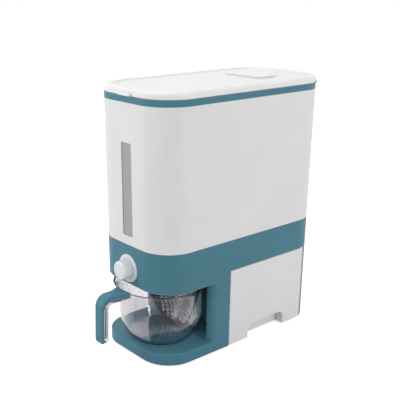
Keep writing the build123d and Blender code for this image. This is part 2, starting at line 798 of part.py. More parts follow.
def make_desiccant_cup():
    rim_z = panel_z + seat_gap
    flange = rounded_block(
        tile_width - 2 * flange_inset, tile_depth - 2 * flange_inset, tile_round - flange_inset,
        0, tile_y, rim_z, rim_z + flange_thickness,
    )
    width = pocket_width - 2 * fit_gap
    length = pocket_length - 2 * fit_gap
    radius = tile_round - pocket_rim - fit_gap
    cup = flange + rounded_block(width, length, radius, 0, tile_y, rim_z - pocket_depth, rim_z + lap)
    cup -= rounded_block(
        width - 2 * pocket_wall, length - 2 * pocket_wall, radius - pocket_wall,
        0, tile_y, rim_z - pocket_depth + pocket_wall, rim_z + flange_thickness + over,
    )
    vents_across = int(width / vent_pitch)
    vents_along = int(length / vent_pitch)
    for place in GridLocations(vent_pitch, vent_pitch, vents_across, vents_along):
        vent = Box(vent_width, vent_length, 4 * pocket_wall)
        cup -= Pos(0, tile_y, rim_z - pocket_depth) * place * vent
    return cup


def make_desiccant_cover():
    bottom = panel_z + flange_thickness + 2 * seat_gap
    tile = rounded_block(tile_width, tile_depth, tile_round, 0, tile_y, bottom, bottom + tile_thickness)
    tile = fillet(tile.edges().group_by(Axis.Z)[-1], tile_edge_round)
    width = pocket_width - 2 * (pocket_wall + 2 * fit_gap)
    length = pocket_length - 2 * (pocket_wall + 2 * fit_gap)
    radius = tile_round - pocket_rim - pocket_wall - 2 * fit_gap
    plug = rounded_block(width, length, radius, 0, tile_y, bottom - tile_plug, bottom + lap)
    plug -= rounded_block(
        width - 2 * tile_plug_wall, length - 2 * tile_plug_wall, radius - tile_plug_wall,
        0, tile_y, bottom - tile_plug - over, bottom,
    )
    return tile + plug


# ---- Cup, strainer and handle ----
def cup_solid(shrink, floor, top):
    """The cup's outer shape, drawn in by shrink, with its floor and top at the given heights."""
    neck = cup_height - cup_neck_drop
    rim_bulge = cup_height - cup_rim_bulge[1]
    wall = [
        Line((0, floor), (cup_foot_radius - shrink, floor)),
        ThreePointArc(
            (cup_foot_radius - shrink, floor), (cup_bulge[0] - shrink, cup_bulge[1]),
            (cup_side_radius - shrink, cup_side_height),
        ),
        Line((cup_side_radius - shrink, cup_side_height), (cup_neck_radius - shrink, neck)),
        ThreePointArc(
            (cup_neck_radius - shrink, neck), (cup_rim_bulge[0] - shrink, rim_bulge),
            (cup_rim_radius - shrink, top),
        ),
        Line((cup_rim_radius - shrink, top), (0, top)),
        Line((0, top), (0, floor)),
    ]
    profile = Plane.XZ * make_face(Wire(wall))
    return Pos(0, cup_y, tray_z + seat_gap) * revolve(profile, Axis.Z)


def from_cup(reach, height):
    """A point of the handle's outline: Y and Z from its reach and its height over the tray."""
    return (cup_y - reach, tray_z + height)


def handle_bar():
    """The whole handle, cover and core together, before it is split."""
    foot = handle_reach + handle_lean
    points = [
        from_cup(cup_side_radius, handle_top),
        from_cup(handle_reach, handle_top),
        from_cup(foot, handle_bottom),
        from_cup(foot - handle_thickness, handle_bottom),
        from_cup(handle_reach - handle_thickness, handle_top - handle_arm),
        from_cup(cup_side_radius, handle_top - handle_arm),
    ]
    face = make_face(Polyline(*points, close=True))
    bends = (handle_outer_bend, handle_tip_round, handle_tip_round, handle_inner_bend)
    for point, bend in zip(points[1:5], bends):
        nearest = min(face.vertices(), key=lambda v: (v.X - point[0]) ** 2 + (v.Y - point[1]) ** 2)
        face = fillet(nearest, bend)
    bar = Pos(-handle_width / 2, 0, 0) * extrude(Plane.YZ * face, handle_width)
    side_edges = bar.edges().group_by(Axis.X)[0] + bar.edges().group_by(Axis.X)[-1]
    bar = fillet(side_edges, handle_edge_round)
    foot_z = tray_z + handle_bottom
    middle_z = (foot_z + 2 * head_z) / 2
    front_view = Pos(0, middle_z) * RectangleRounded(handle_width, 2 * head_z - foot_z, handle_foot_round)
    return bar & (Pos(0, far, 0) * extrude(Plane.XZ * front_view, 2 * far))


def handle_inside(gap):
    """Everything inside the line between cover and core."""
    foot = handle_reach + handle_lean - handle_cover - gap
    points = [
        from_cup(0, handle_top - handle_arm_cover - gap),
        from_cup(handle_reach - handle_cover - gap, handle_top - handle_arm_cover - gap),
        from_cup(foot, 0),
        from_cup(0, 0),
    ]
    face = make_face(Polyline(*points, close=True))
    corner = min(face.vertices(), key=lambda v: (v.X - points[1][0]) ** 2 + (v.Y - points[1][1]) ** 2)
    face = fillet(corner, handle_outer_bend - handle_cover)
    return Pos(-far / 2, 0, 0) * extrude(Plane.YZ * face, far)


def handle_root():
    """The wide root of the handle, which hugs the cup's rim."""
    wide = handle_root_width / 2
    narrow = handle_width / 2
    start = cup_y - cup_rim_radius - handle_root_start
    end = cup_y - cup_rim_radius + handle_root_lap
    bend_x = narrow + handle_root_bend[0]
    bend_y = start + handle_root_bend[1]
    outline_edges = [
        Line((-narrow, start), (narrow, start)),
        ThreePointArc((narrow, start), (bend_x, bend_y), (wide, end)),
        Line((wide, end), (-wide, end)),
        ThreePointArc((-wide, end), (-bend_x, bend_y), (-narrow, start)),
    ]
    face = make_face(Wire(outline_edges))
    low = tray_z + handle_top - handle_arm_cover
    root = Pos(0, 0, low) * extrude(face, handle_arm_cover)
    curved = [edge for edge in root.edges().group_by(Axis.Z)[-1] if edge.geom_type == GeomType.CIRCLE]
    return fillet(curved, handle_edge_round)


def make_cup_bowl():
    bowl = cup_solid(0, 0, cup_height)
    core = handle_bar() & handle_inside(seat_gap)
    bowl += core
    inside = cup_solid(cup_wall, cup_floor, cup_height)
    mouth = pillar(0, cup_y, tray_z + cup_height - lap, 2 * head_z, cup_rim_radius - cup_wall)
    return bowl - inside - mouth


def make_handle_cover():
    cover = handle_bar() - handle_inside(0)
    cover += handle_root()
    return cover - pillar(0, cup_y, 0, 2 * head_z, cup_rim_radius + seat_gap)


def strainer_wall_line(shrink):
    """The strainer's wall from its floor to its rim, drawn in by shrink: radii and heights."""
    floor = cup_floor + strainer_floor_gap
    return ThreePointArc(
        (strainer_floor_radius - shrink, floor), (strainer_bulge[0] - shrink, strainer_bulge[1]),
        (strainer_rim_radius - shrink, cup_height),
    )


def strainer_bowl(shrink, floor, top):
    """The strainer as a whole bowl, drawn in by shrink, between two heights."""
    wall = strainer_wall_line(shrink)
    foot, rim = wall @ 0, wall @ 1
    profile = make_face(Wire([
        Line((0, 0), (foot.X, 0)),
        Line((foot.X, 0), foot),
        wall,
        Line(rim, (rim.X, top)),
        Line((rim.X, top), (0, top)),
        Line((0, top), (0, 0)),
    ]))
    bowl = Pos(0, cup_y, tray_z) * revolve(Plane.XZ * profile, Axis.Z)
    bowl &= block(-far, far, -far, far, tray_z + floor, 2 * head_z)
    return fillet(bowl.edges().group_by(Axis.Z)[0], strainer_floor_round - shrink)


def strainer_holes():
    """Level holes in rows round the wall, each row set off by half a pitch from the last."""
    holes = []
    wall = strainer_wall_line(0)
    rows = int(wall.length / (strainer_hole_pitch * sin(radians(60))))
    for row in range(2, rows):
        spot = wall @ (row / rows)
        step = strainer_hole_pitch / spot.X
        count = int(radians(90) / step)
        for index in range(-count, count + 1):
            turn = (index + 0.5 * (row % 2)) * step
            if spot.X * cos(turn) < strainer_edge + strainer_border:
                continue
            outward = Vector(sin(turn), cos(turn), 0)
            start = Vector(0, cup_y, tray_z + spot.Y) + outward * (spot.X - 2 * strainer_wall)
            bore = Plane(origin=start, z_dir=outward) * Circle(strainer_hole_radius)
            holes.append(extrude(bore, 3 * strainer_wall))
    return holes


def make_strainer():
    floor = cup_floor + strainer_floor_gap
    rest = cup_height + 2 * seat_gap
    top = cup_height + seat_gap + strainer_lip
    lip = pillar(0, cup_y, tray_z + rest, tray_z + top, cup_rim_radius - strainer_lip_inset)
    bead_end = cup_y + strainer_edge + strainer_bead_width
    bead = strainer_bowl(-strainer_bead, floor, rest + lap) & block(-far, far, -far, bead_end, 0, 2 * head_z)
    strainer = strainer_bowl(0, floor, top) + bead + lip
    strainer -= strainer_bowl(strainer_wall, floor + strainer_wall, top + over)
    strainer &= block(-far, far, cup_y + strainer_edge, far, 0, 2 * head_z)
    return strainer - strainer_holes()


# ---- Drawer ----
notch_y0 = bay_y + notch_start
notch_y1 = notch_y0 + notch_width
front_y0 = bay_y - front_lap
front_y1 = bay_y + front_rear
box_x0 = -side_x + base_wall + box_left_gap
box_x1 = side_x - box_right
box_y0 = bay_y + runner_thickness + 2 * box_side_gap
box_y1 = box_y0 + box_length
box_z0 = base_z + box_floor_height
box_z1 = box_z0 + box_height
recess_x = side_x - notch_depth


def notch_prism(grow, x0, x1):
    """The finger notch as a prism along X, grown by grow; it is open below."""
    shape = Rectangle(notch_width + 2 * grow, 2 * (notch_height + grow))
    shape = fillet(shape.vertices(), notch_round + grow)
    middle = (notch_y0 + notch_y1) / 2
    return Pos(x0, 0, 0) * extrude(Plane.YZ * Pos(middle, base_z) * shape, x1 - x0)


def outer_edges_of_front(panel, top):
    """The edges that show round the front: its top edge, and the upright one towards the cup."""
    outer_face = [edge for edge in panel.edges() if edge.center().X > side_x - front_wall / 2]
    upper = [edge for edge in outer_face if abs(edge.center().Z - top) < 0.01]
    front = [edge for edge in outer_face if abs(edge.center().Y - front_y0) < 0.01 and edge.length > 10]
    return upper + front


def make_drawer_front():
    z0, z1 = base_z + front_bottom, base_z + front_top
    panel = body_ring(z0, z1, 0, front_wall) & block(side_x / 2, far, front_y0, front_y1, z0, z1)
    panel = fillet(outer_edges_of_front(panel, z1), front_edge_round)
    floor_cut = block(0, far, -far, far, -far, z0)
    pocket = notch_prism(notch_wall, recess_x - notch_wall, side_x - 2 * front_wall / 3) - floor_cut
    panel += pocket
    panel -= notch_prism(0, recess_x, far)
    for x, y, z in drawer_screw_places:
        boss = rod_along_x(y, z, box_x1 + seat_gap, side_x - front_wall / 2, boss_radius)
        panel += boss & body_volume(z0, z1, front_wall / 2)
        panel -= rod_along_x(y, z, box_x1 - over, box_x1 + box_screw_bore, small_shank_radius + screw_gap)
    return panel


drawer_screw_places = [
    (box_x1, y, box_z0 + height)
    for y in (box_y0 + box_screw_inset, box_y1 - box_screw_inset)
    for height in (box_screw_low, box_height - box_screw_high_drop)
]


def make_drawer_box():
    box = block(box_x0, box_x1, box_y0, box_y1, box_z0, box_z1)
    box = fillet(box.edges().filter_by(Axis.Z), box_round)
    inside = block(
        box_x0 + box_wall, box_x1 - box_wall, box_y0 + box_wall, box_y1 - box_wall,
        box_z0 + box_wall, box_z1 + over,
    )
    inside = fillet(inside.edges().filter_by(Axis.Z), box_round - box_wall)
    step = notch_prism(notch_wall + fit_gap + box_wall, recess_x - notch_wall - fit_gap - box_wall, box_x1)
    box -= inside - step
    box -= notch_prism(notch_wall + fit_gap, recess_x - notch_wall - fit_gap, far)
    for x, y, z in drawer_screw_places:
        box -= rod_along_x(y, z, box_x1 - 2 * box_wall, box_x1 + over, small_shank_radius + screw_gap)
    return box


def make_drawer_screws():
    shank = box_wall + box_screw_grip
    one = Rot(0, -90, 0) * screw(small_head_radius, small_head_height, small_shank_radius, shank)
    return [Pos(x - box_wall, y, z) * one for x, y, z in drawer_screw_places]


runner_x0 = box_x0
runner_x1 = side_x - runner_end_gap
runner_head_face = box_z0 - runner_screw_drop - small_head_height
runner_screw_places = [
    (x, y)
    for x in (runner_x0 + runner_screw_end, runner_x1 - runner_screw_end)
    for y in (
        bay_y + runner_width - runner_screw_inset,
        box_y1 + 2 * box_side_gap + runner_thickness - runner_width + runner_screw_inset,
    )
]


def make_runner(wall_y0, wall_y1, foot_y0, foot_y1):
    """An L-shaped rail: an upright beside the drawer box and a foot under it."""
    foot = block(runner_x0, runner_x1, foot_y0, foot_y1, plate_top, box_z0 - runner_gap)
    rail = foot + block(runner_x0, runner_x1, wall_y0, wall_y1, plate_top, plate_top + runner_height)
    for x, y in runner_screw_places:
        if foot_y0 < y < foot_y1:
            rail -= pillar(x, y, 0, box_z0, small_shank_radius + screw_gap)
            rail -= pillar(x, y, runner_head_face, box_z0, small_head_radius + fit_gap)
    return rail


def make_front_runner():
    wall_y0 = bay_y + seat_gap
    wall_y1 = box_y0 - box_side_gap
    return make_runner(wall_y0, wall_y1, wall_y0, wall_y0 + runner_width)


def make_rear_runner():
    wall_y0 = box_y1 + box_side_gap
    wall_y1 = wall_y0 + runner_thickness
    return make_runner(wall_y0, wall_y1, wall_y1 - runner_width, wall_y1)


def make_runner_screws():
    one = screw(small_head_radius, small_head_height, small_shank_radius, small_screw_length)
    return [Pos(x, y, runner_head_face) * one for x, y in runner_screw_places]


# ---- Write one file for each piece ----
pieces = {
    "base_shell": make_base_shell,
    "base_plate": make_base_plate,
    "base_screws": make_base_screws,
    "rubber_feet": make_feet,
    "tank_shell": make_tank_shell,
    "window_lens": make_window_lens,
    "window_gasket": make_window_gasket,
    "hopper": make_hopper,
    "outlet_nozzle": make_nozzle,
    "gate_housing": make_gate_housing,
    "housing_screws": make_housing_screws,
    "button_guide": make_button_guide,
    "bezel_ring": make_bezel_ring,
    "collar_ring": make_collar_ring,
    "hinge_pins": make_hinge_pins,
    "front_runner": make_front_runner,
    "rear_runner": make_rear_runner,
    "runner_screws": make_runner_screws,
    "lid_shell": make_lid_shell,
    "lid_seal": make_lid_seal,
    "desiccant_cup": make_desiccant_cup,
    "desiccant_cover": make_desiccant_cover,
    "button_cap": make_button_cap,
    "push_rod": make_push_rod,
    "rod_screw": make_rod_screw,
    "gate_plate": make_gate_plate,
    "return_spring": make_return_spring,
    "cup_bowl": make_cup_bowl,
    "handle_cover": make_handle_cover,
    "strainer": make_strainer,
    "drawer_front": make_drawer_front,
    "drawer_box": make_drawer_box,
    "drawer_screws": make_drawer_screws,
}

os.makedirs("parts", exist_ok=True)
for name, make in pieces.items():
    shape = make()
    if isinstance(shape, list):
        shape = Compound(children=[Part() + solid for solid in shape])
    export_step(shape, f"parts/{name}.step")
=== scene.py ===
import math

import bmesh
import bpy
from mathutils import Matrix, Vector


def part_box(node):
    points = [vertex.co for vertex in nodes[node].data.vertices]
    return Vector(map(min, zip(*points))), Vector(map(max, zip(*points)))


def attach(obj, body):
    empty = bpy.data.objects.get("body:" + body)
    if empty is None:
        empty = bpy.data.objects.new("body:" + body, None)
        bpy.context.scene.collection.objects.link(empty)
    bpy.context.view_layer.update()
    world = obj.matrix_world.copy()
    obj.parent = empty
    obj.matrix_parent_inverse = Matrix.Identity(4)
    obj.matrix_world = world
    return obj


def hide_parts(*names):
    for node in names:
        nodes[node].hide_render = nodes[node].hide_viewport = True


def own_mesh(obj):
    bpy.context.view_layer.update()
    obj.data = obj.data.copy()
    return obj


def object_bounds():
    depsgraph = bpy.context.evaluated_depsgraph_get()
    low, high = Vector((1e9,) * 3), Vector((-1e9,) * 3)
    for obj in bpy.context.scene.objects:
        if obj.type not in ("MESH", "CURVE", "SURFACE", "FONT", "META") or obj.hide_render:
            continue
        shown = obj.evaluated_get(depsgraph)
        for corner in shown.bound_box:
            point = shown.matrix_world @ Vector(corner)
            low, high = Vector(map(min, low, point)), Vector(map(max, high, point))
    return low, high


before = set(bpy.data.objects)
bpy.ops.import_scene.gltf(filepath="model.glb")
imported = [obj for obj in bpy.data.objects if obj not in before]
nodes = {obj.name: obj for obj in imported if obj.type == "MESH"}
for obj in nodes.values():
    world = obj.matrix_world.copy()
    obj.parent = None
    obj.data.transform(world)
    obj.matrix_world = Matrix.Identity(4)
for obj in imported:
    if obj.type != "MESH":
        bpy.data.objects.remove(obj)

cad_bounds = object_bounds()
scene = bpy.context.scene

# ---------------------------------------------------------------- camera
# The picture is taken from the front right corner, a little above the lid.
# It is a crop of a wider one, so the lens is shifted to the side and up.
camera_place = (0.9124, -0.8237, 0.6114)
camera_turn = math.radians(50.51)
camera_dip = math.radians(18.94)
lens_mm = 65.86
film_width_mm = 36.0
shift_aside = 0.0789
shift_up = 0.0748
sight_limit = 20.0

camera_data = bpy.data.cameras.new("camera")
camera_data.lens = lens_mm
camera_data.sensor_width = film_width_mm
camera_data.sensor_fit = "HORIZONTAL"
camera_data.shift_x = shift_aside
camera_data.shift_y = shift_up
camera_data.clip_end = sight_limit
camera = bpy.data.objects.new("camera", camera_data)
camera.location = camera_place
camera.rotation_euler = (math.pi / 2 - camera_dip, 0.0, camera_turn)
scene.collection.objects.link(camera)
scene.camera = camera
scene.view_settings.view_transform = "Standard"

# ---------------------------------------------------------------- studio light
# Two soft boxes light the front and the right side, so that the rounded corner between them stays
# darker. The front one stands low and shines under the head. A third hangs over the lid.
softboxes = [       # name, place, side and watts
    ("front_box", (-1.0, -1.9, 1.05), 1.0, 21),
    ("side_box", (2.2, 0.35, 1.3), 1.0, 20.8),
    ("top_box", (-0.3, -0.2, 2.3), 1.4, 15),
]
middle_of_body = Vector((0.0, 0.0, (cad_bounds[0][2] + cad_bounds[1][2]) / 2))
for name, place, side, watts in softboxes:
    lamp = bpy.data.lights.new(name, "AREA")
    lamp.shape = "RECTANGLE"
    lamp.size = side
    lamp.size_y = side
    lamp.energy = watts
    holder = bpy.data.objects.new(name, lamp)
    holder.location = place
    aim = middle_of_body - Vector(place)
    holder.rotation_euler = aim.to_track_quat("-Z", "Y").to_euler()
    scene.collection.objects.link(holder)


def put(tree, kind, settings=None):
    """A new node. Keys with a dot in front are its properties, and the others its inputs.

    An input takes a plain value or another node's output.
    """
    node = tree.nodes.new(kind)
    for key, value in (settings or {}).items():
        if str(key).startswith("."):
            setattr(node, key[1:], value)
        elif isinstance(value, bpy.types.NodeSocket):
            tree.links.new(value, node.inputs[key])
        else:
            node.inputs[key].default_value = value
    return node


def maths(tree, operation, a, b):
    """One sum of two outputs or numbers."""
    return put(tree, "ShaderNodeMath", {".operation": operation, 0: a, 1: b}).outputs[0]


def dot(tree, a, b):
    """The dot product of two vectors."""
    return put(tree, "ShaderNodeVectorMath", {".operation": "DOT_PRODUCT", 0: a, 1: b}).outputs["Value"]


def ground_seen(tree, gloss_share=None):
    """A mask that is 1 where the white ground is seen, straight or through glass.

    It is 0 for light that has already left a matt face, so glass in front of such a face adds
    no light to it. Gloss counts by its share, where one is given.
    """
    ray = put(tree, "ShaderNodeLightPath").outputs
    seen = maths(tree, "MAXIMUM", ray["Is Camera Ray"], ray["Is Transmission Ray"])
    if gloss_share is not None:
        in_gloss = maths(tree, "MULTIPLY", ray["Is Glossy Ray"], gloss_share)
        seen = maths(tree, "MAXIMUM", seen, in_gloss)
    no_matt_face = maths(tree, "LESS_THAN", ray["Diffuse Depth"], 0.5)
    return maths(tree, "MULTIPLY", seen, no_matt_face)


# The room is white to the camera and in glass, and a plain grey as a light. In gloss the white
# sweep stands behind the object, and the grey room lies on the photographer's side.
room_light = 0.47
sweep_from, sweep_full = -0.2, 0.3      # how straight a ray heads into the picture
world = bpy.data.worlds.new("studio")
scene.world = world
world.use_nodes = True
tree = world.node_tree
tree.nodes.clear()
into_the_picture = Vector((0.0, 0.0, -1.0))
into_the_picture.rotate(camera.rotation_euler)
heading = put(tree, "ShaderNodeTexCoord").outputs["Generated"]
sweep = put(tree, "ShaderNodeMapRange", {
    ".interpolation_type": "SMOOTHSTEP", "From Min": sweep_from, "From Max": sweep_full,
    "Value": dot(tree, heading, into_the_picture),
})
room_shade = put(tree, "ShaderNodeMix", {
    ".data_type": "RGBA", "A": (room_light, room_light, room_light, 1), "B": (1, 1, 1, 1),
    "Factor": ground_seen(tree, sweep.outputs["Result"]),
})
walls = put(tree, "ShaderNodeBackground", {"Color": room_shade.outputs["Result"]})
put(tree, "ShaderNodeOutputWorld", {"Surface": walls.outputs[0]})

# ---------------------------------------------------------------- floor
# A wide white sheet of board. To the camera and through glass it is as bright as the backdrop, and
# it still darkens where the object keeps the light away. In gloss it fades to grey in front.
floor_half = 6.0
board_white = 0.82
board_glow = 0.62
fade_from, fade_full = -0.25, 0.05      # metres past the object's middle, into the picture
front_gloss = 0.15
floor_mesh = bpy.data.meshes.new("floor")
floor_corners = [(x * floor_half, y * floor_half, 0) for x, y in ((-1, -1), (1, -1), (1, 1), (-1, 1))]
floor_mesh.from_pydata(floor_corners, [], [(0, 1, 2, 3)])
floor = bpy.data.objects.new("floor", floor_mesh)
scene.collection.objects.link(floor)


def mix_shaders(tree, mask, without, within):
    """One shader where the mask is 0, and the other where it is 1."""
    return put(tree, "ShaderNodeMixShader", {0: mask, 1: without, 2: within}).outputs[0]


floor_paint = bpy.data.materials.new("white_board")
floor_paint.use_nodes = True
tree = floor_paint.node_tree
tree.nodes.clear()
board = put(tree, "ShaderNodeBsdfDiffuse", {"Color": (board_white, board_white, board_white, 1)})
glow = put(tree, "ShaderNodeEmission", {"Strength": board_glow})
lit_board = put(tree, "ShaderNodeAddShader", {0: board.outputs[0], 1: glow.outputs[0]})
seen_board = mix_shaders(tree, ground_seen(tree), board.outputs[0], lit_board.outputs[0])
on_board = put(tree, "ShaderNodeTexCoord").outputs["Object"]
fade = put(tree, "ShaderNodeMapRange", {
    ".interpolation_type": "SMOOTHSTEP", "From Min": fade_from, "From Max": fade_full,
    "To Min": front_gloss, "Value": dot(tree, on_board, into_the_picture),
})
gloss_board = put(tree, "ShaderNodeEmission", {"Strength": fade.outputs["Result"]})
in_gloss = put(tree, "ShaderNodeLightPath").outputs["Is Glossy Ray"]
any_board = mix_shaders(tree, in_gloss, seen_board, gloss_board.outputs[0])
put(tree, "ShaderNodeOutputMaterial", {"Surface": any_board})
floor_mesh.materials.append(floor_paint)


# ---------------------------------------------------------------- base shell
# The teal lower body is one injection moulding in ABS: tray, columns, head and drawer bay.
# Its skin is spark-eroded to a fine satin grain, which hands polish a little where they touch.
def new_group(name, inputs, outputs):
    """An empty shader group, its inputs' outputs and its output node. Inputs: name, kind, value."""
    group = bpy.data.node_groups.new(name, "ShaderNodeTree")
    for label, kind, value in inputs:
        socket = group.interface.new_socket(label, in_out="INPUT", socket_type="NodeSocket" + kind)
        socket.default_value = value
    for label, kind in outputs:
        group.interface.new_socket(label, in_out="OUTPUT", socket_type="NodeSocket" + kind)
    return group, put(group, "NodeGroupInput").outputs, put(group, "NodeGroupOutput")


def noise(tree, place, size, detail, roughness=0.5):
    """A noise texture whose cells are about size metres across."""
    return put(tree, "ShaderNodeTexNoise", {
        "Scale": 1 / size, "Detail": detail, "Roughness": roughness, "Vector": place,
    }).outputs["Fac"]


noise_low, noise_high = 0.3, 0.7        # nearly all of a noise texture lies between these


def spread(tree, value, low, high):
    """Maps a noise value to the range from low to high, which are outputs or numbers."""
    return put(tree, "ShaderNodeMapRange", {
        "From Min": noise_low, "From Max": noise_high, "To Min": low, "To Max": high, "Value": value,
    }).outputs["Result"]


def blend_colours(tree, mask, a, b, how="MIX"):
    """Goes from colour a to colour b with the mask."""
    return put(tree, "ShaderNodeMix", {
        ".data_type": "RGBA", ".blend_type": how, "Factor": mask, "A": a, "B": b,
    }).outputs["Result"]


# The finish that every moulded piece shares: cloudy shade, polished patches and a pressed grain,
# edges that handling has rubbed smoother and that carry a painted highlight, and painted shade in the seams.
cloud_size = 0.09
patch_size = 0.035
grain_size = 0.0009
edge_width = 0.0011
edge_from, edge_full = 0.99, 0.85       # how well the flat and the rounded normal agree
seam_reach = 0.0035
seam_from, seam_full = 0.75, 0.35       # share of open air round the spot
# the painted highlight's colour on edges, and the painted shade's colour in seams
edge_highlight_colour = (0.92, 0.94, 0.95, 1)
seam_shade_colour = (0.015, 0.018, 0.02, 1)
moulded_skin, given, made = new_group(
    "moulded_skin",
    [
        ("Color", "Color", (0.8, 0.8, 0.8, 1)), ("Cloud Shade", "Float", 0.94), ("Roughness", "Float", 0.4),
        ("Polished Roughness", "Float", 0.32), ("Grain Depth", "Float", 0.00002),
        ("Edge Rub", "Float", 0.3), ("Seam Shade", "Float", 0.5),
    ],
    [("Color", "Color"), ("Roughness", "Float"), ("Normal", "Vector")],
)
where = put(moulded_skin, "ShaderNodeTexCoord").outputs["Object"]
clouds = spread(moulded_skin, noise(moulded_skin, where, cloud_size, detail=3), given["Cloud Shade"], 1.0)
clouded = blend_colours(moulded_skin, 1.0, given["Color"], clouds, "MULTIPLY")

# Painted highlight: where the rounded and the flat normal part, on edges, the colour turns paler. The same
# mask makes those edges smoother.
rounded = put(moulded_skin, "ShaderNodeBevel", {".samples": 6, "Radius": edge_width}).outputs["Normal"]
flat = put(moulded_skin, "ShaderNodeNewGeometry").outputs["Normal"]
edges = put(moulded_skin, "ShaderNodeMapRange", {
    "From Min": edge_from, "From Max": edge_full, "Value": dot(moulded_skin, rounded, flat),
})
rubbed_and_highlit = maths(moulded_skin, "MULTIPLY", edges.outputs["Result"], given["Edge Rub"])
edge_highlighted = blend_colours(moulded_skin, rubbed_and_highlit, clouded, edge_highlight_colour)
# Painted shade: the colour darkens towards near-black where little open air lies round the spot, down in
# seams and hollows.
open_air = put(moulded_skin, "ShaderNodeAmbientOcclusion", {
    ".samples": 8, ".only_local": True, "Distance": seam_reach,
})
seams = put(moulded_skin, "ShaderNodeMapRange", {
    "From Min": seam_from, "From Max": seam_full, "Value": open_air.outputs["AO"],
})
painted_seam_shade = maths(moulded_skin, "MULTIPLY", seams.outputs["Result"], given["Seam Shade"])
darker = blend_colours(moulded_skin, painted_seam_shade, edge_highlighted, seam_shade_colour)

patches = noise(moulded_skin, where, patch_size, detail=4, roughness=0.6)
gloss = spread(moulded_skin, patches, given["Polished Roughness"], given["Roughness"])
smoother = put(moulded_skin, "ShaderNodeMix", {
    "Factor": rubbed_and_highlit, "A": gloss, "B": given["Polished Roughness"],
})
grain = put(moulded_skin, "ShaderNodeBump", {
    "Strength": 1.0, "Distance": given["Grain Depth"],
    "Height": noise(moulded_skin, where, grain_size, detail=2, roughness=0.7),
})
moulded_skin.links.new(darker, made.inputs["Color"])
moulded_skin.links.new(smoother.outputs["Result"], made.inputs["Roughness"])
moulded_skin.links.new(grain.outputs["Normal"], made.inputs["Normal"])


def new_material(name):
    """A material with its node tree and its main shader."""
    material = bpy.data.materials.new(name)
    material.use_nodes = True
    return material, material.node_tree, material.node_tree.nodes["Principled BSDF"]


def moulded_plastic(
    name, colour, rough, polished, shade=0.95, grain_depth=0.00002, sheen=0.5, edge_rub=0.2, seam_shade=0.8,
):
    """A moulded plastic with the shared skin, each with its own values."""
    plastic, tree, surface = new_material(name)
    surface.inputs["Specular IOR Level"].default_value = sheen
    skin = put(tree, "ShaderNodeGroup", {
        ".node_tree": moulded_skin, "Color": (*colour, 1), "Cloud Shade": shade, "Roughness": rough,
        "Polished Roughness": polished, "Grain Depth": grain_depth, "Edge Rub": edge_rub,
        "Seam Shade": seam_shade,
    })
    tree.links.new(skin.outputs["Color"], surface.inputs["Base Color"])
    tree.links.new(skin.outputs["Roughness"], surface.inputs["Roughness"])
    tree.links.new(skin.outputs["Normal"], surface.inputs["Normal"])
    return plastic


def finish_nodes(material, *names):
    """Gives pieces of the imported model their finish. Their shapes stay as they are."""
    for name in names:
        for material_slot in nodes[name].material_slots:
            material_slot.material = material


teal_abs = moulded_plastic(
    "teal_abs", colour=(0.069, 0.202, 0.263), rough=0.46, polished=0.38, sheen=0.24, edge_rub=0.4,
)
finish_nodes(teal_abs, "base_shell")

# ---------------------------------------------------------------- base plate
# A flat cover in dark ABS closes the base from below. It is coarser than the shell, as a face
# that nobody sees, and six screws hold it.
plate_abs = moulded_plastic(
    "plate_abs", colour=(0.055, 0.140, 0.185), rough=0.6, polished=0.5, shade=0.88, grain_depth=0.00005,
)
finish_nodes(plate_abs, "base_plate")


# ---------------------------------------------------------------- screws
# Zinc-plated self-tapping screws with a pan head and a cross recess, turned on a lathe and rolled.
# The same tree makes every size of them from the head's, the shank's and the thread's sizes.
def new_shape_tree(name, inputs):
    """A geometry tree, its sizes and its result's input. Inputs: name, kind, value."""
    tree = bpy.data.node_groups.new(name, "GeometryNodeTree")
    tree.interface.new_socket("Geometry", in_out="INPUT", socket_type="NodeSocketGeometry")
    for label, kind, value in inputs:
        socket = tree.interface.new_socket(label, in_out="INPUT", socket_type="NodeSocket" + kind)
        if value is not None:
            socket.default_value = value
    tree.interface.new_socket("Geometry", in_out="OUTPUT", socket_type="NodeSocketGeometry")
    return tree, put(tree, "NodeGroupInput").outputs, put(tree, "NodeGroupOutput").inputs[0]


def end_tree(tree, shape, material, result):
    """Makes copies real, coats them and hands them over."""
    real = put(tree, "GeometryNodeRealizeInstances", {"Geometry": shape})
    coated = put(tree, "GeometryNodeSetMaterial", {"Geometry": real.outputs[0], "Material": material})
    tree.links.new(coated.outputs[0], result)


def vector_of(tree, x, y, z):
    """A vector from three outputs or numbers."""
    return put(tree, "ShaderNodeCombineXYZ", {0: x, 1: y, 2: z}).outputs[0]


def grown_piece(name, start_mesh, tree, values):
    """Runs a geometry tree on a mesh and keeps the result as a plain piece."""
    piece = bpy.data.objects.new(name, start_mesh)
    scene.collection.objects.link(piece)
    step = piece.modifiers.new("shape", "NODES")
    step.node_group = tree
    for socket in tree.interface.items_tree:
        if socket.in_out == "INPUT" and socket.name in values:
            step[socket.identifier] = values[socket.name]
    bpy.context.view_layer.update()
    dressed = piece.evaluated_get(bpy.context.evaluated_depsgraph_get())
    finished = bpy.data.meshes.new_from_object(dressed)
    piece.modifiers.remove(step)
    piece.data = finished
    return piece


def point_mesh(name, places):
    """A mesh of loose points, where copies go."""
    points = bpy.data.meshes.new(name)
    points.from_pydata([tuple(p) for p in places], [], [])
    return points


thread_pitch = 0.0009
crown_width = 0.72                              # shares of the head's radius
recess_reach, recess_slot = 1.15, 0.24
recess_sink = 1.3                               # share of the head's height
core_width, thread_tooth = 0.8, 0.2             # shares of the shank's radius
thread_wide, thread_narrow = 0.84, 0.78
thread_reach = 0.92                             # share of the shank's length
screw_tree, size, result = new_shape_tree("pan_head_screws", [
    ("Head Radius", "Float", 0.003), ("Head Height", "Float", 0.0016), ("Shank Radius", "Float", 0.0014),
    ("Shank Length", "Float", 0.011), ("Direction", "Vector", (0, 0, 1)), ("Material", "Material", None),
])


def part_of(length, share):
    """A share of one of the screw's sizes."""
    return maths(screw_tree, "MULTIPLY", size[length], share)


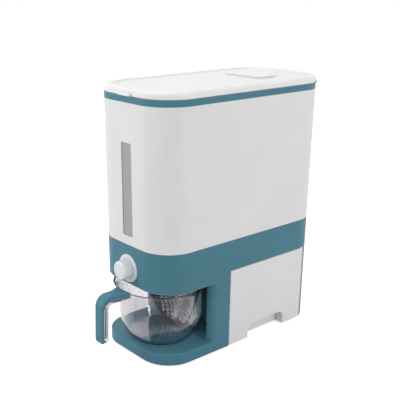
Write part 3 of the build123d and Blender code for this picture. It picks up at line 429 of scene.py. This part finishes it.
dome = put(screw_tree, "GeometryNodeMeshCone", {
    "Vertices": 24, "Side Segments": 3, "Fill Segments": 1, "Radius Bottom": size["Head Radius"],
    "Radius Top": part_of("Head Radius", crown_width), "Depth": size["Head Height"],
})
recess_depth = part_of("Head Height", recess_sink)
recess_long = part_of("Head Radius", recess_reach)
recess_slim = part_of("Head Radius", recess_slot)
head_top = vector_of(screw_tree, 0, 0, size["Head Height"])
cross = put(screw_tree, "GeometryNodeJoinGeometry")
for long_way, short_way in ((recess_long, recess_slim), (recess_slim, recess_long)):
    blade = put(screw_tree, "GeometryNodeMeshCube", {
        "Size": vector_of(screw_tree, long_way, short_way, recess_depth),
    })
    raised = put(screw_tree, "GeometryNodeTransform", {
        "Geometry": blade.outputs["Mesh"], "Translation": head_top,
    })
    screw_tree.links.new(raised.outputs[0], cross.inputs[0])
head = put(screw_tree, "GeometryNodeMeshBoolean", {
    ".operation": "DIFFERENCE", ".solver": "EXACT", "Self Intersection": True,
    "Mesh 1": dome.outputs["Mesh"], "Mesh 2": cross.outputs[0],
})
core = put(screw_tree, "GeometryNodeMeshCylinder", {
    "Vertices": 16, "Radius": part_of("Shank Radius", core_width), "Depth": size["Shank Length"],
})
half_down = vector_of(screw_tree, 0, 0, part_of("Shank Length", -0.5))
shank = put(screw_tree, "GeometryNodeTransform", {"Geometry": core.outputs["Mesh"], "Translation": half_down})
thread_line = put(screw_tree, "GeometryNodeCurveSpiral", {
    "Resolution": 14, "Rotations": maths(screw_tree, "DIVIDE", size["Shank Length"], thread_pitch),
    "Start Radius": part_of("Shank Radius", thread_wide),
    "End Radius": part_of("Shank Radius", thread_narrow), "Height": part_of("Shank Length", -thread_reach),
})
thread_edge = put(screw_tree, "GeometryNodeCurvePrimitiveCircle", {
    "Resolution": 3, "Radius": part_of("Shank Radius", thread_tooth),
})
thread = put(screw_tree, "GeometryNodeCurveToMesh", {
    "Fill Caps": True, "Curve": thread_line.outputs[0], "Profile Curve": thread_edge.outputs[0],
})
one_screw = put(screw_tree, "GeometryNodeJoinGeometry")
for part in (head, shank, thread):
    screw_tree.links.new(part.outputs[0], one_screw.inputs[0])
turn = put(screw_tree, "FunctionNodeAlignEulerToVector", {".axis": "Z", "Vector": size["Direction"]})
copies = put(screw_tree, "GeometryNodeInstanceOnPoints", {
    "Points": size["Geometry"], "Instance": one_screw.outputs[0], "Rotation": turn.outputs[0],
})
end_tree(screw_tree, copies.outputs[0], size["Material"], result)

# Zinc plate: bright, faintly blue and yellow in clouds, with fine turning marks.
zinc_blue, zinc_yellow = (0.62, 0.64, 0.68, 1), (0.70, 0.68, 0.60, 1)
zinc_cloud = 0.003
turning_mark = 0.0006
zinc_polished, zinc_rough = 0.25, 0.45
zinc_steel, tree, surface = new_material("zinc_steel")
surface.inputs["Metallic"].default_value = 1.0
where = put(tree, "ShaderNodeTexCoord").outputs["Object"]
tint = blend_colours(tree, noise(tree, where, zinc_cloud, detail=2), zinc_blue, zinc_yellow)
turned = spread(tree, noise(tree, where, turning_mark, detail=3), zinc_polished, zinc_rough)
tree.links.new(tint, surface.inputs["Base Color"])
tree.links.new(turned, surface.inputs["Roughness"])

same_place = 1e-6


def solids_of(name):
    """The separate solids of a node, each as (lowest corner, highest corner)."""
    shape = bmesh.new()
    shape.from_mesh(nodes[name].data)
    bmesh.ops.remove_doubles(shape, verts=shape.verts, dist=same_place)
    left = set(shape.verts)
    boxes = []
    while left:
        group = set()
        ends = [left.pop()]
        while ends:
            corner = ends.pop()
            group.add(corner)
            for edge in corner.link_edges:
                other = edge.other_vert(corner)
                if other in left:
                    left.remove(other)
                    ends.append(other)
        low = Vector([min(v.co[i] for v in group) for i in range(3)])
        high = Vector([max(v.co[i] for v in group) for i in range(3)])
        boxes.append((low, high))
    shape.free()
    return sorted(boxes, key=lambda box: tuple(box[0]))


def screw_set(node, body, direction, kind):
    """The screws of one node, each where its solid is, with heads that face along direction."""
    axis = max(range(3), key=lambda i: abs(direction[i]))
    outward = 1 if direction[axis] > 0 else -1
    places = []
    for low, high in solids_of(node):
        place = (low + high) / 2
        head_end = high[axis] if outward > 0 else low[axis]
        place[axis] = head_end - outward * kind["Head Height"]
        places.append(place)
        length = high[axis] - low[axis] - kind["Head Height"]
    piece = grown_piece(node + "_set", point_mesh(node + "_points", places), screw_tree, {
        **kind, "Shank Length": length, "Direction": direction, "Material": zinc_steel,
    })
    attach(piece, body)
    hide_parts(node)


housing_kind = {"Head Radius": 0.0030, "Head Height": 0.0016, "Shank Radius": 0.0014}
drawer_kind = {"Head Radius": 0.0022, "Head Height": 0.0010, "Shank Radius": 0.0011}
rod_kind = {"Head Radius": 0.0030, "Head Height": 0.0016, "Shank Radius": 0.0011}
screw_set("base_screws", "root", (0, 0, -1), housing_kind)
screw_set("housing_screws", "root", (0, 0, 1), housing_kind)
screw_set("runner_screws", "root", (0, 0, 1), drawer_kind)
screw_set("drawer_screws", "drawer", (-1, 0, 0), drawer_kind)
screw_set("rod_screw", "button", (0, 1, 0), rod_kind)

# ---------------------------------------------------------------- rubber feet
# Four round pads of black rubber are pressed into the plate. Each is moulded with a chamfered
# sole and two grooves that help it grip.
foot_low, foot_high = solids_of("rubber_feet")[0]
foot_radius = (foot_high.x - foot_low.x) / 2
foot_top = foot_high.z - foot_low.z
groove_depth = 0.0005
grooves = [(0.30, 0.34, 0.42, 0.46), (0.66, 0.70, 0.78, 0.82)]      # corners as shares of the radius
sole_chamfer = [(0.0008, 0.0), (0.0002, 0.0003), (0.0, 0.0009)]     # in from the side, and up
foot_profile = [(0.0, 0.0)]
for groove in grooves:
    for share, height in zip(groove, (0.0, groove_depth, groove_depth, 0.0)):
        foot_profile.append((foot_radius * share, height))
for inset, height in sole_chamfer:
    foot_profile.append((foot_radius - inset, height))
foot_profile += [(foot_radius, foot_top), (0.0, foot_top)]


def lathe(name, profile, centres, sides):
    """A mesh turned round the upright axis from (radius, height) points, once at each centre."""
    shape = bmesh.new()
    for centre in centres:
        rings = []
        for radius, height in profile:
            if radius == 0:
                rings.append([shape.verts.new(Vector((0, 0, height)) + centre)])
                continue
            ring = []
            for i in range(sides):
                turn = 2 * math.pi * i / sides
                spot = Vector((radius * math.cos(turn), radius * math.sin(turn), height))
                ring.append(shape.verts.new(spot + centre))
            rings.append(ring)
        for low, high in zip(rings, rings[1:]):
            for i in range(sides):
                j = (i + 1) % sides
                corners = [low[i % len(low)], low[j % len(low)], high[j % len(high)], high[i % len(high)]]
                unique = list(dict.fromkeys(corners))
                if len(unique) > 2:
                    shape.faces.new(unique)
    bmesh.ops.recalc_face_normals(shape, faces=shape.faces)
    mesh = bpy.data.meshes.new(name)
    shape.to_mesh(mesh)
    shape.free()
    return mesh


foot_centres = []
for low, high in solids_of("rubber_feet"):
    foot_centres.append(Vector(((low.x + high.x) / 2, (low.y + high.y) / 2, low.z)))
feet = bpy.data.objects.new("foot_pads", lathe("foot_pads", foot_profile, foot_centres, sides=48))
scene.collection.objects.link(feet)
black_rubber = moulded_plastic(
    "black_rubber", colour=(0.022, 0.022, 0.024), rough=0.85, polished=0.7, shade=0.7,
    grain_depth=0.00006, sheen=0.3,
)
feet.data.materials.append(black_rubber)
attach(feet, "root")
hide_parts("rubber_feet")

# ---------------------------------------------------------------- rice outlet
# Gate housing, nozzle, button guide and drawer rails are plain white polypropylene. It is a
# little waxy, and duller than the ABS outside.
white_pp = moulded_plastic(
    "white_pp", colour=(0.62, 0.62, 0.60), rough=0.52, polished=0.44, shade=0.93, grain_depth=0.00003,
)
finish_nodes(
    white_pp, "outlet_nozzle", "gate_housing", "button_guide", "front_runner", "rear_runner", "push_rod",
    "gate_plate",
)

# ---------------------------------------------------------------- return spring
# A coil of round spring wire pushes the button out again. Its end turns lie flat, as wound
# compression springs have them, and it gives way towards the guide's rear wall.
wire_radius = 0.0006
spring_turns = 7
spring_low, spring_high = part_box("return_spring")
spring_radius = (spring_high.x - spring_low.x) / 2 - wire_radius
spring_length = spring_high.y - spring_low.y - 2 * wire_radius

spring_tree, size, result = new_shape_tree("coil_spring", [
    ("Coil Radius", "Float", 0.008), ("Length", "Float", 0.03), ("Turns", "Float", 7.0),
    ("Wire Radius", "Float", 0.0006), ("Material", "Material", None),
])
# The wire is first wound nearly flat, and its turns are then laid out along Y.
line = put(spring_tree, "GeometryNodeCurveSpiral", {
    "Resolution": 28, "Height": 0.001, "Rotations": size["Turns"], "Start Radius": size["Coil Radius"],
    "End Radius": size["Coil Radius"],
})
along = put(spring_tree, "GeometryNodeSplineParameter").outputs["Factor"]
one_turn = maths(spring_tree, "DIVIDE", 1.0, size["Turns"])
rise = put(spring_tree, "ShaderNodeMapRange", {
    "Value": along, "From Min": one_turn, "From Max": maths(spring_tree, "SUBTRACT", 1.0, one_turn),
    "To Min": 0.0, "To Max": size["Length"],
})
spot = put(spring_tree, "ShaderNodeSeparateXYZ", {
    "Vector": put(spring_tree, "GeometryNodeInputPosition").outputs[0],
})
laid = put(spring_tree, "GeometryNodeSetPosition", {
    "Geometry": line.outputs[0],
    "Position": vector_of(spring_tree, spot.outputs["X"], rise.outputs["Result"], spot.outputs["Y"]),
})
wire = put(spring_tree, "GeometryNodeCurvePrimitiveCircle", {"Resolution": 10, "Radius": size["Wire Radius"]})
coil = put(spring_tree, "GeometryNodeCurveToMesh", {
    "Fill Caps": True, "Curve": laid.outputs[0], "Profile Curve": wire.outputs[0],
})
smooth = put(spring_tree, "GeometryNodeSetShadeSmooth", {"Geometry": coil.outputs[0]})
end_tree(spring_tree, smooth.outputs[0], size["Material"], result)
spring = grown_piece("button_spring", point_mesh("spring_start", [(0, 0, 0)]), spring_tree, {
    "Coil Radius": spring_radius, "Length": spring_length, "Turns": float(spring_turns),
    "Wire Radius": wire_radius, "Material": zinc_steel,
})
spring_middle = (spring_low + spring_high) / 2
spring.data.transform(Matrix.Translation((spring_middle.x, spring_low.y + wire_radius, spring_middle.z)))
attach(spring, "root")
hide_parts("return_spring")
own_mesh(spring)

# ---------------------------------------------------------------- tank
# The white tank is a drafted ABS moulding. It holds the grain, and a tall window is cut in its
# front. The hopper of polypropylene rests on a ledge inside it and leads down to the gate.
white_abs = moulded_plastic("white_abs", colour=(0.735, 0.735, 0.730), rough=0.40, polished=0.33, shade=0.965)
finish_nodes(white_abs, "tank_shell")
finish_nodes(white_pp, "hopper")

# ---------------------------------------------------------------- window
# A strip of smoke-grey plastic is pressed into the tank from inside, over a thin silicone frame.
# It is frosted on its inner face, so the grain behind it shows only as a shade.
clear_index = 1.49
window_clearness = 0.06
window_grey = moulded_plastic(
    "window_grey", colour=(0.375, 0.375, 0.38), rough=0.36, polished=0.32, shade=0.96, grain_depth=0.00001,
    edge_rub=0.3, seam_shade=0.5,
)
surface = window_grey.node_tree.nodes["Principled BSDF"]
surface.inputs["Transmission Weight"].default_value = window_clearness
surface.inputs["IOR"].default_value = clear_index
finish_nodes(window_grey, "window_lens")
silicone = moulded_plastic(
    "silicone", colour=(0.50, 0.50, 0.48), rough=0.62, polished=0.5, shade=0.9, sheen=0.35,
)
finish_nodes(silicone, "window_gasket")

# ---------------------------------------------------------------- collar
# A teal frame of ABS is pushed into the tank's mouth. It carries the hinge ears at the back and
# the seat of the lid's seal.
finish_nodes(teal_abs, "collar_ring")
finish_nodes(zinc_steel, "hinge_pins")

# ---------------------------------------------------------------- lid
# The white lid has a raised rim round a sunk panel, a finger tab in front and two hinge arms.
# A silicone seal hangs in its groove, and a cup for a drying bag sits under a lift-off tile.
lid_abs = moulded_plastic("lid_abs", colour=(0.80, 0.80, 0.795), rough=0.36, polished=0.29, shade=0.975)
finish_nodes(lid_abs, "lid_shell", "desiccant_cover")
finish_nodes(white_pp, "desiccant_cup")
finish_nodes(silicone, "lid_seal")

# ---------------------------------------------------------------- button
# The push button is a round white cap in a domed ring. Both are a cooler white than the tank, and
# polished a little brighter, because fingers rub them.
button_abs = moulded_plastic("button_abs", colour=(0.70, 0.72, 0.765), rough=0.30, polished=0.22, shade=0.97)
finish_nodes(button_abs, "bezel_ring", "button_cap")


# ---------------------------------------------------------------- cup
# The washing cup is blown clear and then trimmed, one piece with the core of its handle. Light
# passes it, so it throws hardly any shadow. A teal cover is snapped over the handle.
haze_size = 0.02
wave_size, wave_depth = 0.03, 0.0001
coat_index, coat_roughness = 1.9, 0.02


def clear_plastic(name, tint, depth_tint, density, shadow_tint, smoothest, roughest, coat, specular):
    """A see-through plastic with a slight ripple. Thick places are darker, and its shadow is pale."""
    plastic, tree, surface = new_material(name)
    surface.inputs["Base Color"].default_value = (*tint, 1)
    surface.inputs["Transmission Weight"].default_value = 1.0
    surface.inputs["IOR"].default_value = clear_index
    surface.inputs["Specular IOR Level"].default_value = specular
    surface.inputs["Coat Weight"].default_value = coat
    surface.inputs["Coat IOR"].default_value = coat_index
    surface.inputs["Coat Roughness"].default_value = coat_roughness
    where = put(tree, "ShaderNodeTexCoord").outputs["Object"]
    haze = spread(tree, noise(tree, where, haze_size, detail=3), smoothest, roughest)
    wave = put(tree, "ShaderNodeBump", {
        "Distance": wave_depth, "Height": noise(tree, where, wave_size, detail=1),
    })
    tree.links.new(haze, surface.inputs["Roughness"])
    tree.links.new(wave.outputs["Normal"], surface.inputs["Normal"])
    clear = put(tree, "ShaderNodeBsdfTransparent", {"Color": (*shadow_tint, 1)})
    in_shadow = put(tree, "ShaderNodeLightPath").outputs["Is Shadow Ray"]
    depth = put(tree, "ShaderNodeVolumeAbsorption", {"Color": (*depth_tint, 1), "Density": density})
    out = tree.nodes["Material Output"]
    tree.links.new(mix_shaders(tree, in_shadow, surface.outputs[0], clear.outputs[0]), out.inputs["Surface"])
    tree.links.new(depth.outputs[0], out.inputs["Volume"])
    return plastic


clear_cup = clear_plastic(
    "clear_cup", tint=(0.97, 0.96, 0.97), depth_tint=(0.58, 0.53, 0.62), density=35,
    shadow_tint=(0.92, 0.91, 0.93), smoothest=0.01, roughest=0.03, coat=1.0, specular=0.5,
)
finish_nodes(clear_cup, "cup_bowl")
finish_nodes(teal_abs, "handle_cover")

# ---------------------------------------------------------------- strainer
# Half of a round bowl, drilled all over, hangs in the back of the cup on a lip. It is moulded in
# the same plastic with a drop of smoke grey, and each hole has a small raised lip of its own.
smoke_strainer = clear_plastic(
    "smoke_strainer", tint=(0.72, 0.69, 0.75), depth_tint=(0.34, 0.31, 0.38), density=750,
    shadow_tint=(0.68, 0.66, 0.70), smoothest=0.18, roughest=0.30, coat=0.0, specular=0.12,
)
finish_nodes(smoke_strainer, "strainer")

# The drilled wall: its sizes, how its rows are staggered, and its curve's points (reach, height).
lip_radius = 0.0815
wall_thickness = 0.0016
hole_radius = 0.0017
hole_pitch = 0.0078
stagger = math.radians(60)
rim_width = 0.0007
rim_overlap = 0.4       # share of the rim's width that lies outside the hole
first_row = 2
edge_behind_axis = 0.026
plain_border = 0.005
floor_height = 0.0036
wall_foot = Vector((0.033, floor_height))
wall_bulge = Vector((0.049, 0.028))
wall_rim = Vector((0.070, 0.0975))


def circle_through(a, b, c):
    """Centre and radius of the circle through three points in a plane."""
    ab, ac = b - a, c - a
    twice_area = 2 * (ab.x * ac.y - ab.y * ac.x)
    offset = Vector((ac.y * ab.length_squared - ab.y * ac.length_squared,
                     ab.x * ac.length_squared - ac.x * ab.length_squared)) / twice_area
    return a + offset, offset.length


def hole_mouths():
    """Every hole's mouth on the inner face: its place, the way it faces and how long it is."""
    low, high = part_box("strainer")
    axis_y = high.y - lip_radius
    tray_z = low.z - floor_height
    centre, radius = circle_through(wall_foot, wall_bulge, wall_rim)
    first = math.atan2(wall_foot.y - centre.y, wall_foot.x - centre.x)
    last = math.atan2(wall_rim.y - centre.y, wall_rim.x - centre.x)
    rows = int(radius * (last - first) / (hole_pitch * math.sin(stagger)))
    mouths = []
    for row in range(first_row, rows):
        angle = first + (last - first) * row / rows
        reach = centre.x + radius * math.cos(angle)
        height = centre.y + radius * math.sin(angle)
        step = hole_pitch / reach
        count = int(math.pi / 2 / step)
        for index in range(-count, count + 1):
            turn = (index + 0.5 * (row % 2)) * step
            if reach * math.cos(turn) < edge_behind_axis + plain_border:
                continue
            outward = Vector((math.sin(turn), math.cos(turn), 0))
            place = Vector((0, axis_y, tray_z + height)) + outward * (reach - wall_thickness)
            inward = -outward * math.cos(angle) + Vector((0, 0, -math.sin(angle)))
            mouths.append((place, inward, 1 / math.cos(angle)))
    return mouths


# One thin ring is bent round each mouth, faced inward and drawn long where the wall leans.
rim_tree, size, result = new_shape_tree("hole_rims", [
    ("Hole Radius", "Float", 0.0017), ("Rim Width", "Float", 0.0005), ("Material", "Material", None),
])
past_the_hole = maths(rim_tree, "MULTIPLY", size["Rim Width"], rim_overlap)
rim_line = put(rim_tree, "GeometryNodeCurvePrimitiveCircle", {
    "Resolution": 12, "Radius": maths(rim_tree, "ADD", size["Hole Radius"], past_the_hole),
})
rim_edge = put(rim_tree, "GeometryNodeCurvePrimitiveCircle", {"Resolution": 4, "Radius": size["Rim Width"]})
rim = put(rim_tree, "GeometryNodeCurveToMesh", {
    "Curve": rim_line.outputs[0], "Profile Curve": rim_edge.outputs[0],
})
facing_way = put(rim_tree, "GeometryNodeInputNamedAttribute", {
    ".data_type": "FLOAT_VECTOR", "Name": "inward",
})
long_way = put(rim_tree, "GeometryNodeInputNamedAttribute", {".data_type": "FLOAT", "Name": "stretch"})
faced = put(rim_tree, "FunctionNodeAlignEulerToVector", {".axis": "Z", "Vector": facing_way.outputs[0]})
upright = put(rim_tree, "FunctionNodeAlignEulerToVector", {
    ".axis": "Y", ".pivot_axis": "Z", "Vector": (0, 0, 1), "Rotation": faced.outputs[0],
})
rims = put(rim_tree, "GeometryNodeInstanceOnPoints", {
    "Points": size["Geometry"], "Instance": rim.outputs[0], "Rotation": upright.outputs[0],
    "Scale": vector_of(rim_tree, 1, long_way.outputs[0], 1),
})
end_tree(rim_tree, rims.outputs[0], size["Material"], result)

mouths = hole_mouths()
mouth_points = point_mesh("hole_mouths", [place for place, inward, stretch in mouths])
ways = mouth_points.attributes.new("inward", "FLOAT_VECTOR", "POINT")
for i, (place, inward, stretch) in enumerate(mouths):
    ways.data[i].vector = inward
stretches = mouth_points.attributes.new("stretch", "FLOAT", "POINT")
for i, (place, inward, stretch) in enumerate(mouths):
    stretches.data[i].value = stretch
# The rims are near-white and opaque: a painted glint round each hole, where its edge would catch the light.
rim_painted_glint = moulded_plastic(
    "rim_painted_glint", colour=(0.95, 0.945, 0.96), rough=0.25, polished=0.15, shade=0.8, seam_shade=0.0,
)
hole_rims = grown_piece("strainer_rims", mouth_points, rim_tree, {
    "Hole Radius": hole_radius, "Rim Width": rim_width, "Material": rim_painted_glint,
})
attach(hole_rims, "cup")

# ---------------------------------------------------------------- drawer
# The drawer's front is a curved white panel that follows the body and wraps its rear corner. The
# box behind it is a pale polypropylene tub on two rails.
finish_nodes(white_abs, "drawer_front")
tub_pp = moulded_plastic(
    "tub_pp", colour=(0.66, 0.66, 0.65), rough=0.5, polished=0.42, shade=0.93, grain_depth=0.00003,
)
finish_nodes(tub_pp, "drawer_box")
